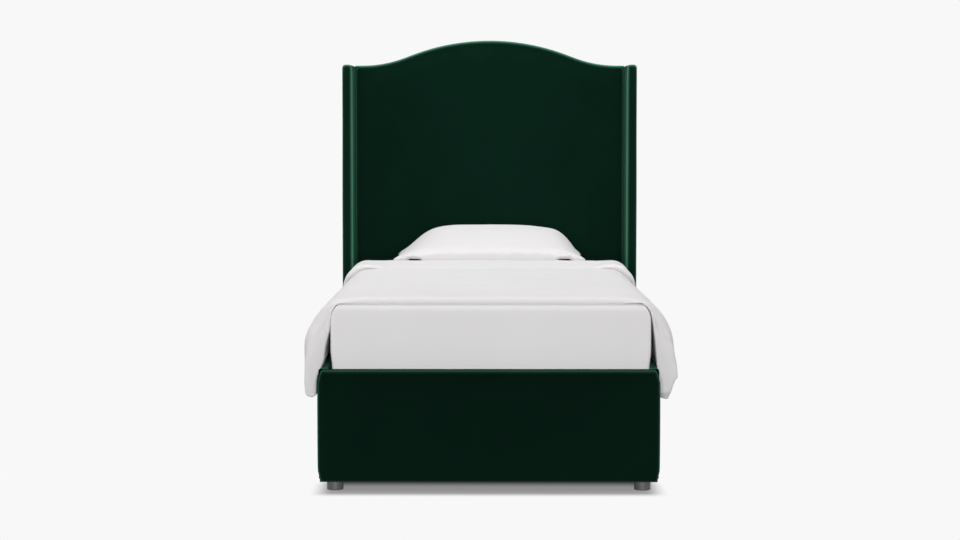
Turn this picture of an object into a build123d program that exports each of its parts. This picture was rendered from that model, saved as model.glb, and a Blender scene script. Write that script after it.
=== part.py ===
from build123d import *
import os
from math import atan, cos, degrees, sin

# Upholstered wingback bed for a twin mattress, with its bedding, in millimetres.
# The foot end looks towards -Y, the headboard stands at +Y, and Z is up from the floor.
# The origin is on the floor, in the middle of the bed's footprint.

# --- mattress and bedding ---
mattress_width = 965
mattress_length = 1905
mattress_thickness = 254
mattress_corner = 50
mattress_edge = 25
sheet_thickness = 1
sheet_tuck = 70
rest_gap = 0.3

# --- well that the mattress lies in ---
side_gap = 3
end_gap = 5
mattress_recess = 59

# --- cloth and padding common to every panel ---
cover_thickness = 1.5
soft_edge = 10
turned_edge = 3

# --- side rails and footboard ---
foot_height = 25
panel_height = 337
rail_board = 18
rail_foam = 6
rail_edge = 6
footboard_core_depth = 32
footboard_foam_depth = 15

# --- headboard ---
shoulder_height = 1306
arch_rise = 95
arch_shoulder = 28
arch_straight = 38
crown_radius = 830
headboard_frame_depth = 40
face_board_thickness = 6
headboard_foam_depth = 26
stile_width = 60
top_rail_depth = 110
mid_rail_width = 60
mid_rail_height = 700
bottom_rail_width = 70
back_lip = 30

# --- wings ---
wing_projection = 212
wing_board = 18
wing_foam = 7
wing_clearance = 2.5
bolt_rail_gap = 50
bolt_diameter = 8
bolt_flange = 22
bolt_flange_thickness = 2
bolt_head_flats = 13
bolt_head_height = 5.5
insert_nut_diameter = 14
insert_nut_length = 14

# --- rail fasteners: a hooked plate on the rail, a slotted plate on the board it meets ---
plate_steel = 3
fastener_height = 130
fastener_middle = 165
hook_plate_length = 57
hook_pitch = 66
hook_height = 22
hook_drop = 8
hook_reach = 11
hook_nose = 7.7
hook_screw_inset = 12
slot_play = 0.3
slot_height = 24
receiver_width = 30
receiver_screw_inset = 6
pocket_play = 1

# --- slats, ledges and the middle support ---
slat_count = 12
slat_width = 90
slat_thickness = 18
slat_end_play = 3
slat_row_inset = 12
ledge_size = 30
ledge_end_gap = 10
ledge_screw_count = 5
ledge_screw_inset = 60
strap_width = 20
strap_thickness = 1
strap_spread = 600
beam_width = 40
beam_height = 60
beam_end_gap = 3
hanger_steel = 2.5
hanger_reach = 35
hanger_play = 0.3
hanger_flange = 20
hanger_plate_rise = 50
leg_width = 40
leg_chamfer = 3

# --- screws ---
screw_shank = 4
screw_head = 8
screw_head_depth = 2.5
short_screw_length = 18
ledge_screw_length = 45

# --- feet and the levelling glide ---
foot_diameter = 50
foot_edge = 2
foot_side_inset = 25.5
front_foot_inset = 5
rear_foot_inset = 1
stud_diameter = 8
stud_length = 35
glide_diameter = 38
glide_thickness = 8
glide_travel = 12
glide_slack = 2
glide_fit = 0.3

# --- duvet ---
duvet_top_thickness = 22
duvet_pillow_gap = 12
duvet_foot_inset = 8
duvet_hem_height = 275
drape_clearance = 3.5
drape_foot_thickness = 32
drape_head_thickness = 16
shoulder_foot_radius = 75
shoulder_head_radius = 60
shoulder_inner_radius = 26
fold_length = 260
fold_rise = 15

# --- pillow ---
pillow_width = 700
pillow_depth = 450
pillow_height = 140
pillow_head_gap = 20
pillow_seam_height = 30
pillow_seam_corner = 40
pillow_base_inset = 75
pillow_base_corner = 90
pillow_swell_height = 85
pillow_swell_inset = 30
pillow_swell_corner = 110
pillow_shoulder_height = 125
pillow_shoulder_inset = 85
pillow_shoulder_corner = 120
pillow_crown_inset = 165
pillow_crown_corner = 50

# ---------------------------------------------------------------- derived sizes
half_inside = mattress_width / 2 + side_gap
rail_thickness = 2 * cover_thickness + rail_board + rail_foam
half_outside = half_inside + rail_thickness
wing_inside = half_outside + wing_clearance
arch_half_span = wing_inside - arch_shoulder
wing_thickness = 2 * cover_thickness + 2 * wing_foam + wing_board

footboard_depth = 2 * cover_thickness + footboard_core_depth + footboard_foam_depth
headboard_depth = (2 * cover_thickness + headboard_foam_depth + face_board_thickness
                   + headboard_frame_depth)
overall_length = footboard_depth + mattress_length + 2 * end_gap + headboard_depth
foot_face = -overall_length / 2
foot_inside = foot_face + footboard_depth
head_back = overall_length / 2
head_inside = head_back - headboard_depth
wing_face = head_inside - wing_projection
well_middle = (foot_inside + head_inside) / 2
well_length = head_inside - foot_inside

panel_bottom = foot_height
panel_top = panel_bottom + panel_height
mattress_seat = panel_top - mattress_recess
slat_top = mattress_seat - rest_gap
ledge_top = slat_top - slat_thickness
mattress_bottom = mattress_seat + sheet_thickness
mattress_top = mattress_bottom + mattress_thickness
sheet_top = mattress_top + sheet_thickness
crown_height = shoulder_height + arch_rise
frame_bottom = panel_bottom + cover_thickness
top_rail_bottom = shoulder_height - cover_thickness - top_rail_depth

middle_of_well = Plane.XZ.offset(-well_middle)


def front_plane(y):
    """Upright plane across the bed at y, seen from the foot end, its normal towards the foot."""
    return Plane.XZ.offset(-y)


def side_plane(x):
    """Upright plane along the bed at x, with Y across and Z up, its normal towards +X."""
    return Plane.YZ.offset(x)


def save(piece, name):
    """Labels a finished piece and writes its file."""
    piece.part.label = name
    export_step(piece.part, f"parts/{name}.step")


def screws(face, places, length):
    """Countersunk screws driven along the normal of a face, at places on it."""
    with BuildPart(face) as driven:
        with Locations(*places):
            Cone(screw_head / 2, screw_shank / 2, screw_head_depth,
                 align=(Align.CENTER, Align.CENTER, Align.MIN))
            Cylinder(screw_shank / 2, length, align=(Align.CENTER, Align.CENTER, Align.MIN))
    return driven.part


def pins(face, places, diameter, length):
    """Round bars that start on a face and run along its normal."""
    with BuildPart(face) as bars:
        with Locations(*places):
            Cylinder(diameter / 2, length, align=(Align.CENTER, Align.CENTER, Align.MIN))
    return bars.part


def spread(first, last, count):
    """Evenly spaced places from first to last."""
    return [first + (last - first) * step / (count - 1) for step in range(count)]


def on_both_sides(shape):
    """A shape on the right of the bed and its mirror on the left."""
    with BuildPart() as pair:
        add(shape)
        mirror(shape, about=Plane.YZ)
    return pair.part


def at_both_ends(shape):
    """A shape at the head end and its mirror at the foot end."""
    with BuildPart() as pair:
        add(shape)
        mirror(shape, about=middle_of_well)
    return pair.part


os.makedirs("parts", exist_ok=True)

# ---------------------------------------------------------------- fasteners and their bores
# Rail fastener at the right of the head end. The hooks drop behind the slotted plate.
receiver_middle = half_inside - plate_steel / 2
receiver_front = head_inside - plate_steel
fastener_bottom = fastener_middle - fastener_height / 2
hook_bottoms = (fastener_middle - hook_pitch / 2 - hook_height / 2,
                fastener_middle + hook_pitch / 2 - hook_height / 2)
hook_plate_end = receiver_front - slot_play

with BuildPart() as hook_plate:
    with BuildSketch(side_plane(half_inside - plate_steel)):
        with Locations((hook_plate_end, fastener_middle)):
            Rectangle(hook_plate_length, fastener_height, align=(Align.MAX, Align.CENTER))
        for hook_bottom in hook_bottoms:
            with Locations((hook_plate_end, hook_bottom + hook_drop)):
                Rectangle(hook_reach, hook_height - hook_drop, align=(Align.MIN, Align.MIN))
            with Locations((head_inside + slot_play, hook_bottom)):
                Rectangle(hook_nose, hook_height, align=(Align.MIN, Align.MIN))
    extrude(amount=plate_steel)

with BuildPart() as receiver:
    with BuildSketch(front_plane(head_inside)):
        with Locations((receiver_middle, fastener_middle)):
            RectangleRounded(receiver_width, fastener_height, turned_edge)
        for hook_bottom in hook_bottoms:
            with Locations((receiver_middle, hook_bottom + hook_drop)):
                Rectangle(plate_steel + 2 * slot_play, slot_height,
                          align=(Align.CENTER, Align.MIN), mode=Mode.SUBTRACT)
    extrude(amount=plate_steel)

with BuildPart() as hook_pocket:
    with BuildSketch(front_plane(head_inside)):
        for hook_bottom in hook_bottoms:
            with Locations((receiver_middle, hook_bottom - pocket_play)):
                Rectangle(plate_steel + 2 * slot_play, slot_height + hook_drop + 2 * pocket_play,
                          align=(Align.CENTER, Align.MIN))
    extrude(amount=-(hook_reach + pocket_play))

with BuildPart() as receiver_notch:
    with BuildSketch(front_plane(head_inside)):
        with Locations((receiver_middle, fastener_middle)):
            Rectangle(receiver_width + 2 * slot_play, fastener_height + 2 * slot_play)
    extrude(amount=plate_steel + slot_play)

hook_screw_row = hook_plate_end - hook_plate_length + hook_screw_inset
hook_screw_front_row = hook_plate_end - hook_screw_inset
fastener_top = fastener_bottom + fastener_height
hook_screw_places = [(hook_screw_row, fastener_middle),
                     (hook_screw_front_row, fastener_bottom + hook_screw_inset),
                     (hook_screw_front_row, fastener_top - hook_screw_inset)]
hook_plate_screw = screws(side_plane(half_inside - plate_steel), hook_screw_places, short_screw_length)

receiver_screw_column = receiver_middle - receiver_width / 2 + receiver_screw_inset
receiver_screw_face = Plane(origin=(0, receiver_front, 0), x_dir=(1, 0, 0), z_dir=(0, 1, 0))
receiver_screw = screws(receiver_screw_face,
                        [(receiver_screw_column, -(fastener_bottom + receiver_screw_inset)),
                         (receiver_screw_column, -(fastener_top - receiver_screw_inset))],
                        short_screw_length)

# Hanger of the middle beam at the head end: a steel cradle on a flanged back plate.
beam_top = ledge_top
beam_bottom = beam_top - beam_height
cradle_inside = beam_width + 2 * hanger_play
cradle_outside = cradle_inside + 2 * hanger_steel
hanger_bottom = beam_bottom - hanger_steel
hanger_screw_column = cradle_outside / 2 + hanger_flange / 2
hanger_screw_height = beam_bottom + hanger_plate_rise / 2

with BuildPart() as hanger:
    with BuildSketch(front_plane(head_inside)):
        with Locations((0, hanger_bottom)):
            Rectangle(cradle_outside + 2 * hanger_flange, hanger_steel + hanger_plate_rise,
                      align=(Align.CENTER, Align.MIN))
    extrude(amount=hanger_steel)
    with BuildSketch(front_plane(head_inside - hanger_steel)):
        with Locations((0, hanger_bottom)):
            Rectangle(cradle_outside, hanger_steel + hanger_plate_rise, align=(Align.CENTER, Align.MIN))
        with Locations((0, beam_bottom)):
            Rectangle(cradle_inside, hanger_plate_rise, align=(Align.CENTER, Align.MIN),
                      mode=Mode.SUBTRACT)
    extrude(amount=hanger_reach)

hanger_screw_face = Plane(origin=(0, head_inside - hanger_steel, 0), x_dir=(1, 0, 0), z_dir=(0, 1, 0))
hanger_screw = screws(hanger_screw_face,
                      [(-hanger_screw_column, -hanger_screw_height),
                       (hanger_screw_column, -hanger_screw_height)],
                      short_screw_length)

all_hook_plates = at_both_ends(on_both_sides(hook_plate.part))
all_receivers = at_both_ends(on_both_sides(receiver.part))
all_pockets = at_both_ends(on_both_sides(hook_pocket.part))
all_notches = at_both_ends(on_both_sides(receiver_notch.part))
all_receiver_screws = at_both_ends(on_both_sides(receiver_screw))
all_hanger_screws = at_both_ends(hanger_screw)
all_hook_plate_screws = at_both_ends(on_both_sides(hook_plate_screw))

with BuildPart() as rail_hook_plates:
    add(all_hook_plates)
    add(all_hook_plate_screws, mode=Mode.SUBTRACT)
save(rail_hook_plates, "rail_hook_plates")

with BuildPart() as rail_hook_receivers:
    add(all_receivers)
    add(all_receiver_screws, mode=Mode.SUBTRACT)
save(rail_hook_receivers, "rail_hook_receivers")

with BuildPart() as beam_hangers:
    add(at_both_ends(hanger.part))
    add(all_hanger_screws, mode=Mode.SUBTRACT)
save(beam_hangers, "beam_hangers")

with BuildPart() as plate_screws:
    add(all_hook_plate_screws)
    add(all_receiver_screws)
    add(all_hanger_screws)
save(plate_screws, "plate_screws")

# Studs of the four feet stand in the core above them.
foot_column = half_outside - foot_side_inset - foot_diameter / 2
front_foot_row = foot_face + front_foot_inset + foot_diameter / 2
rear_foot_row = head_back - rear_foot_inset - foot_diameter / 2
foot_places = {"foot_front_right": (foot_column, front_foot_row),
               "foot_front_left": (-foot_column, front_foot_row),
               "foot_rear_right": (foot_column, rear_foot_row),
               "foot_rear_left": (-foot_column, rear_foot_row)}
foot_studs = pins(Plane.XY.offset(panel_bottom), list(foot_places.values()), stud_diameter, stud_length)

# Bolts that hold the wings, driven outwards from inside the headboard's stiles.
stile_inside = wing_inside - cover_thickness - stile_width
frame_front = head_back - cover_thickness - headboard_frame_depth
wing_bolt_row = frame_front + headboard_frame_depth / 2
wing_bolt_heights = (frame_bottom + bottom_rail_width + bolt_rail_gap,
                     mid_rail_height + mid_rail_width / 2 + bolt_rail_gap,
                     top_rail_bottom - bolt_rail_gap)
wing_bolt_places = [(wing_bolt_row, height) for height in wing_bolt_heights]
wing_core_inside = wing_inside + cover_thickness + wing_foam
wing_bolt_length = wing_core_inside + insert_nut_length - stile_inside
wing_bolt_shanks = on_both_sides(pins(side_plane(stile_inside), wing_bolt_places,
                                      bolt_diameter, wing_bolt_length))
insert_nut_bores = on_both_sides(pins(side_plane(wing_core_inside), wing_bolt_places,
                                      insert_nut_diameter, insert_nut_length))

with BuildPart() as wing_bolt_heads:
    with BuildSketch(side_plane(stile_inside)):
        with Locations(*wing_bolt_places):
            Circle(bolt_flange / 2)
    extrude(amount=-bolt_flange_thickness)
    with BuildSketch(side_plane(stile_inside - bolt_flange_thickness)):
        with Locations(*wing_bolt_places):
            RegularPolygon(bolt_head_flats / 2, 6, major_radius=False)
    extrude(amount=-bolt_head_height)

with BuildPart() as wing_bolts:
    add(wing_bolt_shanks)
    add(on_both_sides(wing_bolt_heads.part))
save(wing_bolts, "wing_bolts")

with BuildPart() as wing_insert_nuts:
    add(insert_nut_bores)
    add(wing_bolt_shanks, mode=Mode.SUBTRACT)
save(wing_insert_nuts, "wing_insert_nuts")

# ---------------------------------------------------------------- headboard
# The camelback top: a crown arc, a short straight on each flank and a hollow arc that runs
# out level at each shoulder. Its slope follows from the rise, the half span and the straight.
half_slope = atan(arch_rise / (arch_half_span + arch_straight))
slope = 2 * half_slope
arc_sum = (arch_half_span - arch_straight * cos(slope)) / sin(slope)
flank_radius = arc_sum - crown_radius

with BuildLine() as headboard_line:
    crown = CenterArc((0, crown_height - crown_radius), crown_radius,
                      90 - degrees(slope), 2 * degrees(slope))
    right_flank = CenterArc((arch_half_span, shoulder_height + flank_radius), flank_radius,
                            270 - degrees(slope), degrees(slope))
    left_flank = CenterArc((-arch_half_span, shoulder_height + flank_radius), flank_radius,
                           270, degrees(slope))
    Line(crown @ 0, right_flank @ 0)
    Line(left_flank @ 1, crown @ 1)
    Polyline(right_flank @ 1, (wing_inside, shoulder_height), (wing_inside, panel_bottom),
             (-wing_inside, panel_bottom), (-wing_inside, shoulder_height), left_flank @ 0)

foam_front = head_inside + cover_thickness
face_board_front = foam_front + headboard_foam_depth
frame_back = head_back - cover_thickness

with BuildPart() as headboard_filling:
    with BuildSketch(front_plane(frame_back)):
        make_face(headboard_line.edges())
        offset(amount=-cover_thickness, mode=Mode.REPLACE)
    extrude(amount=frame_back - foam_front)
    fillet(headboard_filling.faces().sort_by(Axis.Y)[0].edges(), radius=soft_edge - cover_thickness)

with BuildPart() as headboard_cover:
    with BuildSketch(front_plane(head_back)):
        make_face(headboard_line.edges())
    extrude(amount=headboard_depth)
    fillet(headboard_cover.faces().sort_by(Axis.Y)[0].edges(), radius=soft_edge)
    add(headboard_filling.part, mode=Mode.SUBTRACT)
    with BuildSketch(front_plane(head_back)):
        make_face(headboard_line.edges())
        offset(amount=-(cover_thickness + back_lip), mode=Mode.REPLACE)
    extrude(amount=cover_thickness, mode=Mode.SUBTRACT)
    add(all_pockets, mode=Mode.SUBTRACT)
    add(all_receiver_screws, mode=Mode.SUBTRACT)
    add(all_hanger_screws, mode=Mode.SUBTRACT)
    add(foot_studs, mode=Mode.SUBTRACT)
    add(wing_bolt_shanks, mode=Mode.SUBTRACT)
save(headboard_cover, "headboard_cover")

with BuildPart() as headboard_back_cloth:
    with BuildSketch(front_plane(head_back)):
        make_face(headboard_line.edges())
        offset(amount=-(cover_thickness + back_lip), mode=Mode.REPLACE)
    extrude(amount=cover_thickness)
save(headboard_back_cloth, "headboard_back_cloth")

with BuildPart() as headboard_foam:
    add(headboard_filling.part)
    split(bisect_by=front_plane(face_board_front), keep=Keep.TOP)
    split(bisect_by=Plane.XY.offset(slat_top), keep=Keep.TOP)
save(headboard_foam, "headboard_foam")

with BuildPart() as headboard_mount_board:
    add(headboard_filling.part)
    split(bisect_by=front_plane(face_board_front), keep=Keep.TOP)
    split(bisect_by=Plane.XY.offset(slat_top), keep=Keep.BOTTOM)
    add(all_pockets, mode=Mode.SUBTRACT)
    add(all_receiver_screws, mode=Mode.SUBTRACT)
    add(all_hanger_screws, mode=Mode.SUBTRACT)
save(headboard_mount_board, "headboard_mount_board")

with BuildPart() as headboard_face_board:
    with BuildSketch(front_plane(frame_front)):
        make_face(headboard_line.edges())
        offset(amount=-cover_thickness, mode=Mode.REPLACE)
    extrude(amount=face_board_thickness)
save(headboard_face_board, "headboard_face_board")

frame_half_width = wing_inside - cover_thickness

with BuildPart() as headboard_arch_rail:
    with BuildSketch(front_plane(frame_back)):
        make_face(headboard_line.edges())
        offset(amount=-cover_thickness, mode=Mode.REPLACE)
        with Locations((0, top_rail_bottom)):
            Rectangle(2 * frame_half_width, crown_height - top_rail_bottom,
                      align=(Align.CENTER, Align.MIN), mode=Mode.INTERSECT)
    extrude(amount=headboard_frame_depth)
save(headboard_arch_rail, "headboard_arch_rail")

with BuildPart() as headboard_stile_right:
    with BuildSketch(front_plane(frame_back)):
        with Locations((frame_half_width, frame_bottom)):
            Rectangle(stile_width, top_rail_bottom - frame_bottom, align=(Align.MAX, Align.MIN))
    extrude(amount=headboard_frame_depth)
    add(wing_bolt_shanks, mode=Mode.SUBTRACT)
    add(foot_studs, mode=Mode.SUBTRACT)
save(headboard_stile_right, "headboard_stile_right")

with BuildPart() as headboard_stile_left:
    mirror(headboard_stile_right.part, about=Plane.YZ)
save(headboard_stile_left, "headboard_stile_left")

with BuildPart() as headboard_mid_rail:
    with BuildSketch(front_plane(frame_back)):
        with Locations((0, mid_rail_height)):
            Rectangle(2 * stile_inside, mid_rail_width)
    extrude(amount=headboard_frame_depth)
save(headboard_mid_rail, "headboard_mid_rail")

with BuildPart() as headboard_bottom_rail:
    with BuildSketch(front_plane(frame_back)):
        with Locations((0, frame_bottom)):
            Rectangle(2 * stile_inside, bottom_rail_width, align=(Align.CENTER, Align.MIN))
    extrude(amount=headboard_frame_depth)
save(headboard_bottom_rail, "headboard_bottom_rail")

# ---------------------------------------------------------------- wings
# A board with foam on both faces and round its front and top, in a sewn cover.
wing_length = head_back - wing_face
wing_height = shoulder_height - panel_bottom

with BuildPart() as wing_filling:
    with BuildSketch(side_plane(wing_inside + cover_thickness)):
        with Locations((wing_face + cover_thickness, frame_bottom)):
            Rectangle(wing_length - 2 * cover_thickness, wing_height - 2 * cover_thickness,
                      align=(Align.MIN, Align.MIN))
    extrude(amount=wing_thickness - 2 * cover_thickness)
    front_and_top = (wing_filling.faces().sort_by(Axis.Y)[0].edges().sort_by(Axis.Z)[1:]
                     + wing_filling.faces().sort_by(Axis.Z)[-1].edges().filter_by(Axis.Y))
    fillet(front_and_top, radius=soft_edge - cover_thickness)

with BuildPart() as wing_cover_right:
    with BuildSketch(side_plane(wing_inside)):
        with Locations((wing_face, panel_bottom)):
            Rectangle(wing_length, wing_height, align=(Align.MIN, Align.MIN))
    extrude(amount=wing_thickness)
    front_and_top = (wing_cover_right.faces().sort_by(Axis.Y)[0].edges().sort_by(Axis.Z)[1:]
                     + wing_cover_right.faces().sort_by(Axis.Z)[-1].edges().filter_by(Axis.Y))
    fillet(front_and_top, radius=soft_edge)
    fillet(wing_cover_right.faces().sort_by(Axis.Y)[-1].edges().filter_by(Axis.Z), radius=turned_edge)
    add(wing_filling.part, mode=Mode.SUBTRACT)
    add(wing_bolt_shanks, mode=Mode.SUBTRACT)
save(wing_cover_right, "wing_cover_right")

with BuildPart() as wing_board_right:
    with BuildSketch(side_plane(wing_core_inside)):
        with Locations((frame_back, frame_bottom)):
            Rectangle(wing_length - 2 * cover_thickness - wing_foam,
                      wing_height - 2 * cover_thickness - wing_foam,
                      align=(Align.MAX, Align.MIN))
    extrude(amount=wing_board)
    add(insert_nut_bores, mode=Mode.SUBTRACT)
save(wing_board_right, "wing_board_right")

with BuildPart() as wing_foam_right:
    add(wing_filling.part)
    with BuildSketch(side_plane(wing_core_inside)):
        with Locations((frame_back, frame_bottom)):
            Rectangle(wing_length - 2 * cover_thickness - wing_foam,
                      wing_height - 2 * cover_thickness - wing_foam,
                      align=(Align.MAX, Align.MIN))
    extrude(amount=wing_board, mode=Mode.SUBTRACT)
    add(wing_bolt_shanks, mode=Mode.SUBTRACT)
save(wing_foam_right, "wing_foam_right")

with BuildPart() as wing_cover_left:
    mirror(wing_cover_right.part, about=Plane.YZ)
save(wing_cover_left, "wing_cover_left")

with BuildPart() as wing_board_left:
    mirror(wing_board_right.part, about=Plane.YZ)
save(wing_board_left, "wing_board_left")

with BuildPart() as wing_foam_left:
    mirror(wing_foam_right.part, about=Plane.YZ)
save(wing_foam_left, "wing_foam_left")

# ---------------------------------------------------------------- footboard
with BuildPart() as footboard_filling:
    with BuildSketch(front_plane(foot_inside - cover_thickness)):
        with Locations((0, frame_bottom)):
            Rectangle(2 * (half_outside - cover_thickness), panel_height - 2 * cover_thickness,
                      align=(Align.CENTER, Align.MIN))
    extrude(amount=footboard_depth - 2 * cover_thickness)
    front_and_ends = (footboard_filling.faces().sort_by(Axis.Y)[0].edges()
                      + footboard_filling.edges().filter_by(Axis.Y))
    fillet(front_and_ends, radius=soft_edge - cover_thickness)

with BuildPart() as footboard_cover:
    with BuildSketch(front_plane(foot_inside)):
        with Locations((0, panel_bottom)):
            Rectangle(2 * half_outside, panel_height, align=(Align.CENTER, Align.MIN))
    extrude(amount=footboard_depth)
    front_and_ends = (footboard_cover.faces().sort_by(Axis.Y)[0].edges()
                      + footboard_cover.edges().filter_by(Axis.Y))
    fillet(front_and_ends, radius=soft_edge)
    add(footboard_filling.part, mode=Mode.SUBTRACT)
    add(all_pockets, mode=Mode.SUBTRACT)
    add(all_receiver_screws, mode=Mode.SUBTRACT)
    add(all_hanger_screws, mode=Mode.SUBTRACT)
    add(foot_studs, mode=Mode.SUBTRACT)
save(footboard_cover, "footboard_cover")

footboard_core_front = foot_face + cover_thickness + footboard_foam_depth

with BuildPart() as footboard_core:
    add(footboard_filling.part)
    split(bisect_by=front_plane(footboard_core_front), keep=Keep.BOTTOM)
    add(all_pockets, mode=Mode.SUBTRACT)
    add(all_receiver_screws, mode=Mode.SUBTRACT)
    add(all_hanger_screws, mode=Mode.SUBTRACT)
    add(foot_studs, mode=Mode.SUBTRACT)
save(footboard_core, "footboard_core")

with BuildPart() as footboard_foam:
    add(footboard_filling.part)
    split(bisect_by=front_plane(footboard_core_front), keep=Keep.TOP)
save(footboard_foam, "footboard_foam")

# ---------------------------------------------------------------- side rails
ledge_bottom = ledge_top - ledge_size
ledge_inside = half_inside - ledge_size
ledge_first = foot_inside + ledge_end_gap
ledge_last = head_inside - ledge_end_gap
ledge_screw_places = [(y, ledge_bottom + ledge_size / 2)
                      for y in spread(ledge_first + ledge_screw_inset, ledge_last - ledge_screw_inset,
                                      ledge_screw_count)]
all_ledge_screws = on_both_sides(screws(side_plane(ledge_inside), ledge_screw_places, ledge_screw_length))

with BuildPart() as ledge_screws:
    add(all_ledge_screws)
save(ledge_screws, "ledge_screws")

with BuildSketch() as rail_section:
    with Locations((half_inside, panel_bottom)):
        Rectangle(rail_thickness, panel_height, align=(Align.MIN, Align.MIN))
    fillet(rail_section.vertices().group_by(Axis.X)[-1], radius=rail_edge)
    fillet(rail_section.vertices().group_by(Axis.X)[0], radius=turned_edge)

with BuildSketch() as rail_filling_section:
    add(rail_section.sketch)
    offset(amount=-cover_thickness, mode=Mode.REPLACE)

rail_board_outside = half_inside + cover_thickness + rail_board

with BuildPart() as side_rail_cover_right:
    with BuildSketch(front_plane(head_inside)):
        add(rail_section.sketch)
        add(rail_filling_section.sketch, mode=Mode.SUBTRACT)
    extrude(amount=well_length)
    add(all_notches, mode=Mode.SUBTRACT)
    add(all_hook_plate_screws, mode=Mode.SUBTRACT)
    add(all_ledge_screws, mode=Mode.SUBTRACT)
save(side_rail_cover_right, "side_rail_cover_right")

with BuildPart() as side_rail_board_right:
    with BuildSketch(front_plane(head_inside)):
        add(rail_filling_section.sketch)
    extrude(amount=well_length)
    split(bisect_by=side_plane(rail_board_outside), keep=Keep.BOTTOM)
    add(all_notches, mode=Mode.SUBTRACT)
    add(all_hook_plate_screws, mode=Mode.SUBTRACT)
    add(all_ledge_screws, mode=Mode.SUBTRACT)
save(side_rail_board_right, "side_rail_board_right")

with BuildPart() as side_rail_foam_right:
    with BuildSketch(front_plane(head_inside)):
        add(rail_filling_section.sketch)
    extrude(amount=well_length)
    split(bisect_by=side_plane(rail_board_outside), keep=Keep.TOP)
save(side_rail_foam_right, "side_rail_foam_right")

with BuildPart() as slat_ledge_right:
    with BuildSketch(front_plane(ledge_last)):
        with Locations((half_inside, ledge_top)):
            Rectangle(ledge_size, ledge_size, align=(Align.MAX, Align.MAX))
    extrude(amount=ledge_last - ledge_first)
    add(all_ledge_screws, mode=Mode.SUBTRACT)
save(slat_ledge_right, "slat_ledge_right")

with BuildPart() as side_rail_cover_left:
    mirror(side_rail_cover_right.part, about=Plane.YZ)
save(side_rail_cover_left, "side_rail_cover_left")

with BuildPart() as side_rail_board_left:
    mirror(side_rail_board_right.part, about=Plane.YZ)
save(side_rail_board_left, "side_rail_board_left")

with BuildPart() as side_rail_foam_left:
    mirror(side_rail_foam_right.part, about=Plane.YZ)
save(side_rail_foam_left, "side_rail_foam_left")

with BuildPart() as slat_ledge_left:
    mirror(slat_ledge_right.part, about=Plane.YZ)
save(slat_ledge_left, "slat_ledge_left")

# ---------------------------------------------------------------- slats and middle support
slat_length = 2 * (half_inside - slat_end_play)
slat_first = ledge_first + slat_row_inset + slat_width / 2
slat_last = ledge_last - slat_row_inset - slat_width / 2

for number, slat_y in enumerate(spread(slat_first, slat_last, slat_count), start=1):
    with BuildPart() as slat:
        with Locations((0, slat_y, ledge_top)):
            Box(slat_length, slat_width, slat_thickness, align=(Align.CENTER, Align.CENTER, Align.MIN))
        fillet(slat.edges().filter_by(Axis.X), radius=turned_edge)
    save(slat, f"slat_{number:02d}")

with BuildPart() as slat_straps:
    with Locations((-strap_spread / 2, well_middle, ledge_top), (strap_spread / 2, well_middle, ledge_top)):
        Box(strap_width, slat_last - slat_first + slat_width / 2, strap_thickness,
            align=(Align.CENTER, Align.CENTER, Align.MAX))
save(slat_straps, "slat_straps")

leg_stud = pins(Plane.XY.offset(beam_bottom), [(0, well_middle)], stud_diameter, stud_length)
leg_bottom = glide_thickness + glide_travel + glide_slack
glide_stud_length = leg_bottom - glide_thickness + stud_length
glide_bore_length = stud_length + glide_travel + glide_slack

with BuildPart() as centre_beam:
    with BuildSketch(front_plane(head_inside - hanger_steel - beam_end_gap)):
        with Locations((0, beam_bottom)):
            Rectangle(beam_width, beam_height, align=(Align.CENTER, Align.MIN))
    extrude(amount=well_length - 2 * (hanger_steel + beam_end_gap))
    add(leg_stud, mode=Mode.SUBTRACT)
save(centre_beam, "centre_beam")

with BuildPart() as centre_leg:
    with Locations((0, well_middle, leg_bottom)):
        Box(leg_width, leg_width, beam_bottom - leg_bottom, align=(Align.CENTER, Align.CENTER, Align.MIN))
    chamfer(centre_leg.edges().filter_by(Axis.Z) + centre_leg.faces().sort_by(Axis.Z)[0].edges(),
            length=leg_chamfer)
    add(leg_stud)
    add(pins(Plane.XY.offset(leg_bottom), [(0, well_middle)], stud_diameter + 2 * glide_fit,
             glide_bore_length), mode=Mode.SUBTRACT)
save(centre_leg, "centre_leg")

with BuildPart() as levelling_glide:
    with Locations((0, well_middle)):
        Cylinder(glide_diameter / 2, glide_thickness, align=(Align.CENTER, Align.CENTER, Align.MIN))
    fillet(levelling_glide.faces().sort_by(Axis.Z)[-1].edges(), radius=foot_edge)
    add(pins(Plane.XY.offset(glide_thickness), [(0, well_middle)], stud_diameter, glide_stud_length))
save(levelling_glide, "levelling_glide")

# ---------------------------------------------------------------- feet
for foot_name, foot_place in foot_places.items():
    with BuildPart() as foot:
        with Locations(foot_place):
            Cylinder(foot_diameter / 2, foot_height, align=(Align.CENTER, Align.CENTER, Align.MIN))
        fillet(foot.faces().sort_by(Axis.Z)[0].edges(), radius=foot_edge)
        add(pins(Plane.XY.offset(panel_bottom), [foot_place], stud_diameter, stud_length))
    save(foot, foot_name)

# ---------------------------------------------------------------- mattress and fitted sheet
with BuildPart() as mattress:
    with BuildSketch(Plane.XY.offset(mattress_bottom)):
        with Locations((0, well_middle)):
            RectangleRounded(mattress_width, mattress_length, mattress_corner)
    extrude(amount=mattress_thickness)
    mattress_faces = mattress.faces().sort_by(Axis.Z)
    fillet(mattress_faces[-1].edges() + mattress_faces[0].edges(), radius=mattress_edge)
save(mattress, "mattress")

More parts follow.
